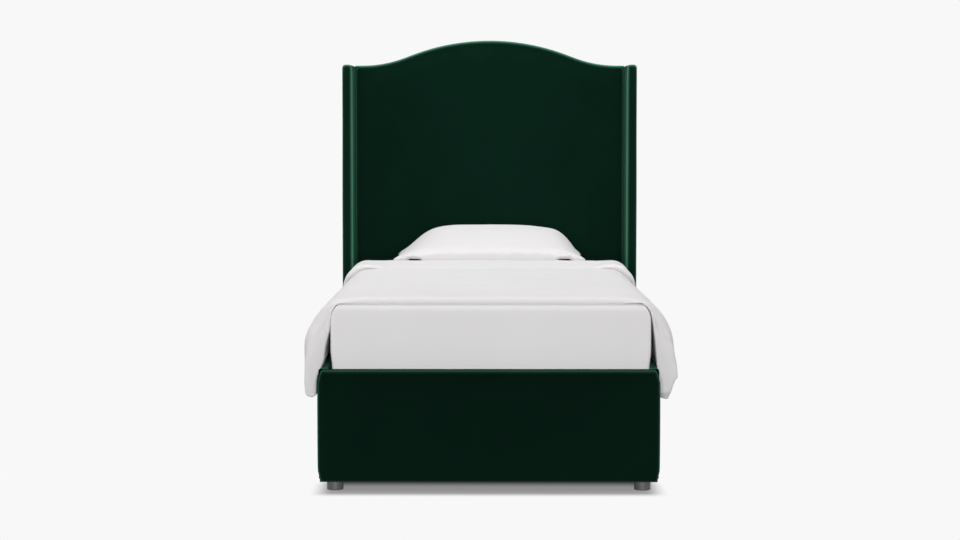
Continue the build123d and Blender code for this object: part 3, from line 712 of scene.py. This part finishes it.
mattress = mattress_form("mattress_body", 0)
dress(mattress, ticking, "mattress", "ticking", "mattress")

# -------- fitted sheet
# Smooth white cotton percale with sewn corners, stretched over the mattress and tucked under
# it all round.
sheet_thickness = 0.001
percale_thickness = 0.0008
sheet_tuck = 0.07


def cotton(name, dark, light, wrinkle):
    """White cotton: fine crossed threads, faint unevenness and a soft crumple."""
    finish, tree, shader, place = new_finish(name, 0.85, 0.2)
    threads = stripes(tree, place, "X", 420, 1.2)
    for direction in ("Y", "Z"):
        threads = worked_out(tree, "ADD", threads, stripes(tree, place, direction, 420, 1.2))
    crumple = relief(tree, speckle(tree, place, 9, 4, 0.5, 0.6), 0.004, wrinkle)
    weave = relief(tree, threads, 0.00015, 0.35, crumple)
    tone = speckle(tree, place, 3.0, 3, 0.5)
    coat(tree, shader, shades(tree, tone, (0.35, dark), (0.65, light)), weave)
    set_inputs(shader, {"Sheen Weight": 0.15, "Sheen Roughness": 0.5})
    return finish


percale = cotton("white_percale", (0.832, 0.816, 0.823), (0.849, 0.833, 0.84), 0.05)
bed_sheet = mattress_form("fitted_sheet_cloth", sheet_thickness)
shaping(True)
opening_x = mattress_half - sheet_tuck
opening_foot = mattress_foot + sheet_tuck
opening_head = mattress_head - sheet_tuck
slices(0, (-opening_x, opening_x))
slices(1, (opening_foot, opening_head))
pick(bed_sheet, "faces", lambda p: on(p.z, mattress_bottom - sheet_thickness)
     and abs(p.x) < opening_x + hair and opening_foot - hair < p.y < opening_head + hair)
bpy.ops.mesh.delete(type="FACE")
shaping(False)
give_thickness(bed_sheet, percale_thickness)
dress(bed_sheet, percale, "mattress", "sheet_cotton", "fitted_sheet")


# -------- duvet
# A soft filled quilt in a white cotton cover, laid over the mattress. Both sides hang down
# outside the rails, it ends at the mattress's foot edge, and it is folded thicker at the head.
def smooth_line(points, shares):
    """Points on a smooth curve through points, at shares of its length."""
    dense = []
    last = len(points) - 1
    for index in range(last):
        before = Vector(points[max(index - 1, 0)])
        start = Vector(points[index])
        end = Vector(points[index + 1])
        after = Vector(points[min(index + 2, last)])
        for step in range(12):
            t = step / 12
            dense.append(0.5 * ((2 * start) + (end - before) * t
                                + (2 * before - 5 * start + 4 * end - after) * t * t
                                + (3 * start - before - 3 * end + after) * t * t * t))
    dense.append(Vector(points[last]))
    lengths = [0]
    for a, b in zip(dense, dense[1:]):
        lengths.append(lengths[-1] + (b - a).length)
    line = []
    index = 0
    for share in shares:
        target = share * lengths[-1]
        while index < len(lengths) - 2 and lengths[index + 1] < target:
            index += 1
        span = lengths[index + 1] - lengths[index]
        part = (target - lengths[index]) / span if span else 0
        line.append(dense[index].lerp(dense[index + 1], part))
    return line


sheet_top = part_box("fitted_sheet")[1].z
rest = sheet_top + 0.0004
duvet_foot = -0.957
duvet_head = 0.463
duvet_length = duvet_head - duvet_foot

# Half sections across the bed, as distance from its middle and height: crown and bed are the
# duvet's two sides over the mattress, and each goes on over the mattress's edge to the hem.
crown = ((0, 0.5815), (0.2, 0.5815), (0.34, 0.5812), (0.405, 0.5795), (0.445, 0.5735))
bed = ((0, rest), (0.2, rest), (0.36, rest), (0.425, rest))
outlines = {
    (-1, "foot", "outer"): (
        *crown, (0.482, 0.56), (0.517, 0.525), (0.536, 0.4965), (0.5517, 0.469), (0.5597, 0.437),
        (0.56, 0.405), (0.5583, 0.365), (0.5577, 0.315), (0.5535, 0.278)),
    (1, "foot", "outer"): (
        *crown, (0.484, 0.561), (0.509, 0.54), (0.53, 0.512), (0.546, 0.476), (0.5571, 0.436),
        (0.5623, 0.3885), (0.5664, 0.3512), (0.5702, 0.32), (0.5715, 0.278)),
    (-1, "foot", "inner"): (
        *bed, (0.452, 0.556), (0.4665, 0.542), (0.4735, 0.5215), (0.4765, 0.497), (0.479, 0.477),
        (0.4868, 0.4494), (0.4929, 0.42), (0.4961, 0.3903), (0.507, 0.361), (0.5172, 0.335),
        (0.5192, 0.3), (0.52, 0.278)),
    (1, "foot", "inner"): (
        *bed, (0.457, 0.559), (0.479, 0.542), (0.4875, 0.524), (0.4912, 0.508), (0.494, 0.4965),
        (0.4965, 0.47), (0.5, 0.446), (0.5035, 0.4064), (0.5085, 0.3497), (0.513, 0.32),
        (0.5145, 0.278)),
    "head_outer": (
        (0, 0.5815), (0.2, 0.5815), (0.34, 0.5814), (0.41, 0.5806), (0.441, 0.5775),
        (0.467, 0.564), (0.491, 0.54), (0.508, 0.505), (0.518, 0.45), (0.524, 0.4), (0.529, 0.35),
        (0.532, 0.3), (0.532, 0.278)),
    "head_inner": (
        (0, rest), (0.2, rest), (0.36, rest), (0.432, rest), (0.462, 0.549), (0.48, 0.533),
        (0.488, 0.505), (0.4925, 0.47), (0.499, 0.43), (0.5085, 0.39), (0.5165, 0.355),
        (0.517, 0.32), (0.518, 0.278)),
}
fold_foot = 0.205
fold_height = 0.015
arc_length = 0.86
half_columns = 74
plain_rows = 77
row_step = 0.0132

# Columns run from the middle to a side hem, closest at the hem. Rows run from the foot end to
# the head hem, closest at both ends and at the fold, whose side view is fold_curve.
arc_steps = [step / half_columns * 0.968 for step in range(half_columns + 1)]
arc_steps += [1 - 0.032 * share for share in (0.8, 0.6, 0.42, 0.27, 0.15, 0.07, 0.02, 0)]
edge_rows = [0.0004, 0.0015, 0.0035, 0.0062, 0.0095, 0.0135, 0.018, 0.023]
foot_rows = [0, *edge_rows, 0.0285, 0.0345, 0.041, 0.048, 0.0555, 0.0635, 0.072, 0.081, 0.091,
             0.102]
fold_rows = [1.128 + 0.0045 * step for step in range(16)]
fold_curve = ((-0.034, 0), (-0.026, 0), (-0.019, -0.0005), (-0.013, -0.0015), (-0.008, -0.0035),
              (-0.0035, -0.0055), (-0.0005, -0.0055), (-0.001, -0.0025), (-0.005, 0.0005),
              (-0.0095, 0.0035), (-0.0115, 0.0075), (-0.009, 0.012), (-0.003, 0.0148),
              (0.006, 0.0156), (0.018, 0.0154), (0.0335, 0.015))
row_places = foot_rows + [0.114 + row_step * step for step in range(plain_rows)] + fold_rows
row_places += [1.212 + row_step * step for step in range(14)]
row_places += [duvet_length - place for place in reversed(edge_rows)] + [duvet_length]
last_column = len(arc_steps) - 1
last_row = len(row_places) - 1
lines = {key: smooth_line(points, arc_steps) for key, points in outlines.items()}


def between(value, *stops):
    """A value read off a broken line of (place, value) stops."""
    for (low, first), (high, last) in zip(stops, stops[1:]):
        if value <= high:
            return first + (last - first) * max(0.0, (value - low) / (high - low))
    return stops[-1][1]


def bulge(value, middle, width):
    """A soft bump around a place."""
    return exp(-((value - middle) / width) ** 2)


def quarter_round(value):
    """Climbs from 0 to 1 along a quarter circle, and stays at 1."""
    return sqrt(max(0.0, 1 - (1 - min(1.0, value)) ** 2))


# How deep the ends and hems are rounded, how deep the hanging folds and the quilting are, and
# how far the hem is drawn up or drops.
foot_depth = 0.024
hanging_depth = 0.06
hem_seam = 0.08
duvet_lean = 0.0045
end_round = 0.022
side_round = 0.011
under_round = 0.012
corner_reach = 0.14
dip_depth = 0.0075
cushion_rise = 0.005
long_fold_depth = 0.007
short_fold_depth = 0.0032
puff_depth = 0.0018
stitch_depth = 0.0014
hem_rise = 0.046
corner_drop = 0.012
left_drop = 0.004


def duvet_point(grid_x, grid_y, upper):
    """A point of the duvet's skin, on its upper or its under side, by its place in the grid."""
    column = round((grid_x + 1) * last_column) - last_column
    row = round((grid_y + 1) / 2 * last_row)
    side = -1 if column < 0 else 1
    column = abs(column)
    from_foot = row_places[row]
    across = arc_steps[column]
    y = duvet_foot + from_foot
    toward_head = ease(from_foot / 1.1)
    outer = lines[(side, "foot", "outer")][column].lerp(lines["head_outer"][column], toward_head)
    inner = lines[(side, "foot", "inner")][column].lerp(lines["head_inner"][column], toward_head)
    hanging = ease((across - 0.5) / 0.16)
    thick = outer - inner
    out = thick.normalized()

    # The foot end rolls over to a seam low down; the sides come out fully farther back.
    depth = foot_depth + (hanging_depth - foot_depth) * hanging
    turn = min(1.0, from_foot / depth)
    swell = quarter_round(turn)
    seam = hem_seam + 0.06 * (1 - hanging)
    lean = duvet_lean * (1 - ease(from_foot / 0.42)) * (1 - hanging)

    # Both end hems and the side hems close in a rounded edge.
    closing = quarter_round((duvet_length - from_foot) / end_round)
    closing *= quarter_round((1 - across) * arc_length / side_round)
    middle = inner + thick * 0.5
    crease_at = between(middle.y, (0.34, 0.97), (0.382, 0.92), (0.403, 0.82), (0.443, 0.6),
                        (0.47, 0.45), (0.509, 0.25), (0.561, 0.12))
    if upper:
        front = 1 - (1 - min(1.0, from_foot / under_round)) ** 5
        rolled = seam + (1 - seam) * swell
        kneed = seam + (crease_at - seam) * front + (1 - crease_at) * (1 - (1 - turn) ** 1.7)
        share = rolled + (kneed - rolled) * hanging
    else:
        share = seam * (1 - quarter_round(from_foot / under_round))
    share = 0.5 + (share - 0.5) * closing
    place = inner + thick * share
    x = place.x
    z = place.y - lean

    # The last quarter is folded back on itself: a thicker roll with a crease before it.
    fold_down = 1 - ease((across - 0.64) / 0.1)
    sharp = (0.12 + 0.88 * ease((across - 0.475) / 0.06)) * (0.25 + 0.75 * fold_down)
    sharp *= closing if upper else 0.0
    step_on = ease((y - fold_foot + 0.15) / 0.49)
    roll = fold_height * step_on * (0.15 + 0.85 * fold_down)
    past_fold = row - len(foot_rows) - plain_rows
    if past_fold >= len(fold_curve):
        roll += (fold_height - roll) * sharp
    elif past_fold >= 0:
        ahead, rise = fold_curve[past_fold]
        roll += (rise - roll) * sharp
        y += (fold_foot + ahead - y) * sharp
    else:
        roll -= roll * sharp
    roll *= 1 + 0.45 * bulge(across, 0.6, 0.06)
    sag = 0.003 * bulge(across, 0.7, 0.05) * step_on
    lift = (roll - sag) * closing if upper else 0.0

    # Folds of the hanging sides, deepest at the foot corner.
    height = place.y
    drop = ease((across - 0.6) / 0.34)
    reach = share if upper else 0.0
    if upper and from_foot < corner_reach:
        crease, width, valley = (0.0065, 0.11, 0.009) if side > 0 else (0.004, 0.07, 0.005)
        crease *= hanging * closing * swell * (1 - 0.85 * ease((crease_at - 0.66) / 0.24))
        lift -= crease * bulge(reach, crease_at, width) * (1 - ease((0.36 - height) / 0.05))
        lift += 0.003 * bulge(reach, crease_at - 0.3, 0.16) * hanging * closing * swell
        valley *= hanging * closing * (1 - ease(from_foot / corner_reach))
        y += valley * bulge(share, crease_at, 0.09) * (1 - ease((0.345 - height) / 0.05))
        if side > 0:
            cushion = cushion_rise * bulge(reach, 0.62, 0.16) * bulge(height, 0.36, 0.045)
            lift += cushion * closing * swell
        else:
            dip = dip_depth * bulge(reach, 0.4, 0.07) * ease((0.352 - height) / 0.04)
            lift -= dip * closing * swell
            z += 0.004 * bulge(reach, 0.4, 0.06) * ease((across - 0.9) / 0.08)
    long_wave = 0.5 + 0.5 * sin(y * 15.0 + side * 1.3 + 1.7 * sin(y * 4.6 + side))
    short_wave = 0.5 + 0.5 * sin(y * 37.0 + side * 2.0 + 2.0 * sin(y * 9.0))
    away = ease((from_foot - 0.16) / 0.2)
    x += (long_wave * long_fold_depth + short_wave * short_fold_depth) * drop * away
    if upper:
        puff = puff_depth * noise.noise(Vector((side * across * 9, y * 7, 3.7)))
        puff += 0.001 * noise.noise(Vector((side * across * 26, y * 19, 1.3)))
        stitched = stitch_depth * bulge((1 - across) * arc_length, 0.03, 0.0035)
        stitched += 0.0012 * bulge(from_foot, 0.0285, 0.004) * (1 - ease((across - 0.5) / 0.1))
        lift += (puff * ease((from_foot - 0.05) / 0.15) - stitched * swell) * closing
        x += out.x * lift
        z += out.y * lift

    # The hem hangs level, a little higher on the right, where the corner alone drops lower.
    drawn_up = ease((across - 0.62) / 0.38)
    if side > 0:
        corner = (1 - ease((from_foot - 0.0015) / 0.03)) * (1 - ease((reach - 0.4) / 0.5))
        z += drawn_up * (hem_rise * (1 - corner) - corner_drop * corner)
        tucked = corner * ease((0.288 - z) / 0.006)
        y += 0.004 * tucked + 0.9 * max(0.0, 0.286 - z) * corner
    else:
        z -= drawn_up * left_drop
    return side * x, y, z


def two_skins(name, columns, rows, point):
    """A case of two skins, each a grid laid where point says, joined and closed at its seams."""
    skins = []
    for upper in (True, False):
        let_go()
        bpy.ops.mesh.primitive_grid_add(x_subdivisions=columns, y_subdivisions=rows, size=2)
        skin = bpy.context.object
        for vertex in skin.data.vertices:
            vertex.co = point(vertex.co.x, vertex.co.y, upper)
        if not upper:
            skin.data.flip_normals()
        skins.append(skin)
    case = skins[0]
    take(case)
    skins[1].select_set(True)
    bpy.ops.object.join()
    case.name = name
    shaping(True)
    bpy.ops.mesh.select_all(action="SELECT")
    bpy.ops.mesh.remove_doubles(threshold=0.00008)
    turn_outwards()
    shaping(False)
    return case


duvet_cotton = cotton("duvet_cotton", (0.775, 0.758, 0.764), (0.8, 0.783, 0.789), 0.1)
duvet = two_skins("duvet_quilt", 2 * last_column, last_row, duvet_point)
dress(duvet, duvet_cotton, "duvet", "duvet_cotton", "duvet")

# -------- pillow
# A standard pillow in a plain case, lying flat against the headboard, full in the middle and
# drawn out to soft points at its corners.
pillow_low, pillow_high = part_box("pillow")
pillow_half = (0.352, 0.226)
pillow_middle = (pillow_low.y + pillow_high.y) / 2
pillow_base = pillow_low.z
pillow_cells = 84

# The top's left and right outline, as distance from the middle and height.
profile_steps = [step / 200 for step in range(201)]
profiles = {
    -1: smooth_line(
        ((0, 0.705), (0.105, 0.7045), (0.143, 0.7028), (0.181, 0.6978), (0.214, 0.6885),
         (0.243, 0.673), (0.268, 0.654), (0.297, 0.629), (0.323, 0.609), (0.342, 0.5988),
         (0.352, 0.589)), profile_steps),
    1: smooth_line(
        ((0, 0.7055), (0.086, 0.7045), (0.143, 0.702), (0.19, 0.697), (0.233, 0.691),
         (0.262, 0.68), (0.286, 0.661), (0.305, 0.639), (0.322, 0.615), (0.342, 0.601),
         (0.352, 0.591)), profile_steps),
}
side_pull = 0.03
front_pull = 0.06
pillow_seam = 0.6165
point_drop = 0.0165
corner_lift = 0.04
edge_width = 0.035
skirt_width = 0.11


def profile_height(x):
    """Height of the pillow's outline over a place across it."""
    line = profiles[-1 if x < 0 else 1]
    for first, last in zip(line, line[1:]):
        if abs(x) <= last.x:
            return first.y + (last.y - first.y) * (abs(x) - first.x) / max(1e-6, last.x - first.x)
    return line[-1].y


def pillow_point(grid_x, grid_y, upper):
    """A point of the pillow's skin, on its upper or its under side, by its place in the grid."""
    a = sin(grid_x * pi / 2)
    b = sin(grid_y * pi / 2)
    x = pillow_half[0] * a * (1 - side_pull * (1 - b * b))
    y = pillow_middle + pillow_half[1] * b * (1 - front_pull * (1 - a * a))
    tip = abs(a) ** 14
    top = profile_height(x)
    seam = pillow_seam - 0.01 * abs(a) ** 3 - point_drop * tip - 0.012 * tip * max(0.0, b) ** 2
    seam = min(seam, top + 0.002)
    inside = 1 - abs(b)
    slope = 1 - abs(b) ** (1.15 if b < 0 else 2.3)
    near = quarter_round(inside / edge_width)
    round_a = max(0.0, 1 - abs(a) ** 10) ** 0.5
    pucker = 0.0016 * sin(a * 46 + 2.3 * sin(a * 9)) * bulge(inside, 0, 0.09)
    pucker *= (1 - abs(a) ** 6) * near
    if upper:
        rise = max(0.0, top - seam) * (0.98 * slope + 0.02 * near) * round_a
        crease = 0.001 * bulge(inside, 0.1, 0.035) * (1 - abs(a) ** 4)
        return x, y, seam + rise - crease + pucker
    lifted = corner_lift * ease((abs(a) - 0.62) / 0.11) * (1 - 0.9 * ease((abs(a) - 0.84) / 0.07))
    turn = min(1.0, inside / skirt_width)
    fall = quarter_round(turn)
    forward = 0.011 * sin(pi * turn) * (1 - abs(a) ** 8)
    dent = 0.003 * bulge(turn, 0.25, 0.2) * (0.5 + 0.5 * sin(a * 23 + 1.2)) ** 3
    y += (forward - dent) * (-1 if b < 0 else 1)
    return x, y, seam - (seam - pillow_base - lifted) * fall * round_a


def filled(piece, cell, pressure, spare, reach, floor_height):
    """Lets a case settle round its filling as cloth; no point moves farther than reach."""
    take(piece)
    even = piece.modifiers.new("even_mesh", "REMESH")
    even.mode = "VOXEL"
    even.voxel_size = cell
    bpy.ops.object.modifier_apply(modifier=even.name)
    start = [vertex.co.copy() for vertex in piece.data.vertices]
    cloth = piece.modifiers.new("filling", "CLOTH")
    settings = cloth.settings
    settings.quality = 4
    settings.mass = 0.15
    settings.tension_stiffness = 12
    settings.compression_stiffness = 6
    settings.bending_stiffness = 0.08
    settings.use_pressure = True
    settings.uniform_pressure_force = pressure
    settings.shrink_min = -spare
    settings.effector_weights.gravity = 0
    scene = bpy.context.scene
    for moment in range(1, 21):
        scene.frame_set(moment)
    bpy.ops.object.modifier_apply(modifier=cloth.name)
    for vertex, place in zip(piece.data.vertices, start):
        moved = vertex.co - place
        if moved.length > reach:
            vertex.co = place + moved * (reach / moved.length)
        vertex.co.z = max(vertex.co.z, floor_height)
    scene.frame_set(1)


pillow_cotton = cotton("pillow_cotton", (0.733, 0.711, 0.718), (0.753, 0.731, 0.738), 0.1)
pillow = two_skins("pillow_case", pillow_cells, pillow_cells, pillow_point)
filled(pillow, cell=0.005, pressure=4.0, spare=0.015, reach=0.005, floor_height=pillow_base)
dress(pillow, pillow_cotton, "pillow", "pillow_cotton", "pillow")


# -------- timber and boards
# Planed softwood frame, ledges, beam and leg, birch slats and plywood boards, all unfinished.
# The frames are glued and screwed, and the rails' ledges carry the slats.
def wood(name, along, dark, light, ring_scale):
    """Planed wood with its grain along an axis."""
    finish, tree, shader, place = new_finish(name, 0.62, 0.3)
    scale = [22, 22, 22]
    scale[along] = 0.9
    grain_place = stretched(tree, place, scale)
    grain = speckle(tree, grain_place, ring_scale, 6, 0.6, 1.1)
    fibre_scale = [420, 420, 420]
    fibre_scale[along] = 6
    fibres = speckle(tree, stretched(tree, place, fibre_scale), 1.0, 2, 0.5)
    colour = shades(tree, grain, (0.3, dark), (0.52, light), (0.62, dark), (0.75, light))
    coat(tree, shader, colour, relief(tree, fibres, 0.0003, 0.35))
    return finish


def refinish(finish, *nodes):
    """Gives CAD pieces a finish and keeps their form."""
    for name in nodes:
        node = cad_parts[name]
        node.data.materials.clear()
        node.data.materials.append(finish)


pine_across, pine_along, pine_upright = (
    wood(name, along, (0.42, 0.27, 0.13), (0.56, 0.39, 0.21), 1.0)
    for along, name in enumerate(("pine_across", "pine_along", "pine_upright")))
birch = wood("birch_slats", 0, (0.55, 0.41, 0.24), (0.68, 0.54, 0.35), 0.8)
plywood = wood("birch_plywood", 2, (0.5, 0.36, 0.2), (0.62, 0.47, 0.29), 1.6)
refinish(pine_across, "headboard_arch_rail", "headboard_mid_rail", "headboard_bottom_rail")
refinish(pine_along, "slat_ledge_left", "slat_ledge_right", "centre_beam")
refinish(pine_upright, "headboard_stile_left", "headboard_stile_right", "centre_leg")
refinish(birch, *[f"slat_{number:02d}" for number in range(1, 13)])
refinish(plywood, "headboard_face_board", "headboard_mount_board", "wing_board_left",
         "wing_board_right", "side_rail_board_left", "side_rail_board_right")

core_clearance = 0.0003
core_inset = velvet_thickness + core_clearance
footboard_core = footboard_form("footboard_core_board", core_inset, core_front,
                                foot_back - core_inset, False)
for fitting in ("rail_hook_receivers", "beam_hangers"):
    pocket = footboard_core.modifiers.new("pocket", "BOOLEAN")
    pocket.operation = "DIFFERENCE"
    pocket.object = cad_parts[fitting]
    bpy.ops.object.modifier_apply(modifier=pocket.name)
dress(footboard_core, pine_across, "bed_frame", "timber", "footboard_core")

# -------- foam
# Cut polyurethane foam under every cover, with its open cells. It is glued to the boards and
# held by the velvet that is pulled over it.
foam, tree, shader, place = new_finish("cut_foam", 0.95, 0.1)
cell_walls = placed_node(tree, "TexVoronoi", place, {"Scale": 520}).outputs["Distance"]
coat(tree, shader, shades(tree, cell_walls, (0.1, (0.52, 0.47, 0.28)), (0.5, (0.7, 0.66, 0.45))),
     relief(tree, cell_walls, 0.0006, 0.7))
refinish(foam, "headboard_foam", "wing_foam_left", "wing_foam_right", "side_rail_foam_left",
         "side_rail_foam_right")
footboard_padding = footboard_form("footboard_padding", core_inset, foot_front + core_inset,
                                   core_front - core_clearance, True)
dress(footboard_padding, foam, "bed_frame", "foam", "footboard_foam")


# -------- steel fasteners
# Zinc plated hook plates, slotted receivers and hangers, pressed from sheet steel and screwed
# on, with plated screws, bolts and nuts.
def plated_steel(name, dark, light, roughness):
    """Zinc plating with a fine spangle and brushed lines."""
    finish, tree, shader, place = new_finish(name, roughness, 0.5)
    set_inputs(shader, {"Metallic": 1.0})
    spangle = speckle(tree, place, 60, 4, 0.6, 0.8)
    lines = speckle(tree, stretched(tree, place, (900, 900, 30)), 1.0, 2, 0.5)
    coat(tree, shader, shades(tree, spangle, (0.3, dark), (0.7, light)),
         relief(tree, lines, 0.0002, 0.25))
    return finish


refinish(plated_steel("zinc_plate", (0.42, 0.43, 0.43), (0.56, 0.57, 0.57), 0.38),
         "rail_hook_plates", "rail_hook_receivers", "beam_hangers")
refinish(plated_steel("zinc_fasteners", (0.36, 0.36, 0.34), (0.48, 0.48, 0.45), 0.32),
         "plate_screws", "ledge_screws", "wing_bolts", "wing_insert_nuts")

# -------- feet and glide
# Moulded feet of a turned look in grey plastic, each on a stud that screws into the panel over
# it, and a darker glide that screws into the middle leg.
def moulded(name, roughness, specular, blotch, dark, light):
    """Moulded plastic with faint blotches and a fine mould texture."""
    finish, tree, shader, place = new_finish(name, roughness, specular)
    coat(tree, shader, shades(tree, speckle(tree, place, blotch), (0.35, dark), (0.65, light)),
         relief(tree, speckle(tree, place, 1400, 2), 0.0002, 0.3))
    return finish


refinish(moulded("grey_plastic", 0.42, 0.45, 30, (0.088, 0.086, 0.085), (0.105, 0.103, 0.102)),
         "foot_front_left", "foot_front_right", "foot_rear_left", "foot_rear_right")
refinish(moulded("black_plastic", 0.45, 0.4, 40, (0.012, 0.012, 0.012), (0.02, 0.02, 0.02)),
         "levelling_glide")

# -------- slat straps
# Two bands of black polyester webbing, woven with cross ribs. They are stapled under the slats
# to keep them spaced.
webbing, tree, shader, place = new_finish("black_webbing", 0.85, 0.2)
ribs = stripes(tree, place, "Y", 160)
coat(tree, shader, shades(tree, ribs, (0.2, (0.01, 0.01, 0.01)), (0.8, (0.03, 0.03, 0.03))),
     relief(tree, ribs, 0.0004, 0.6))
refinish(webbing, "slat_straps")
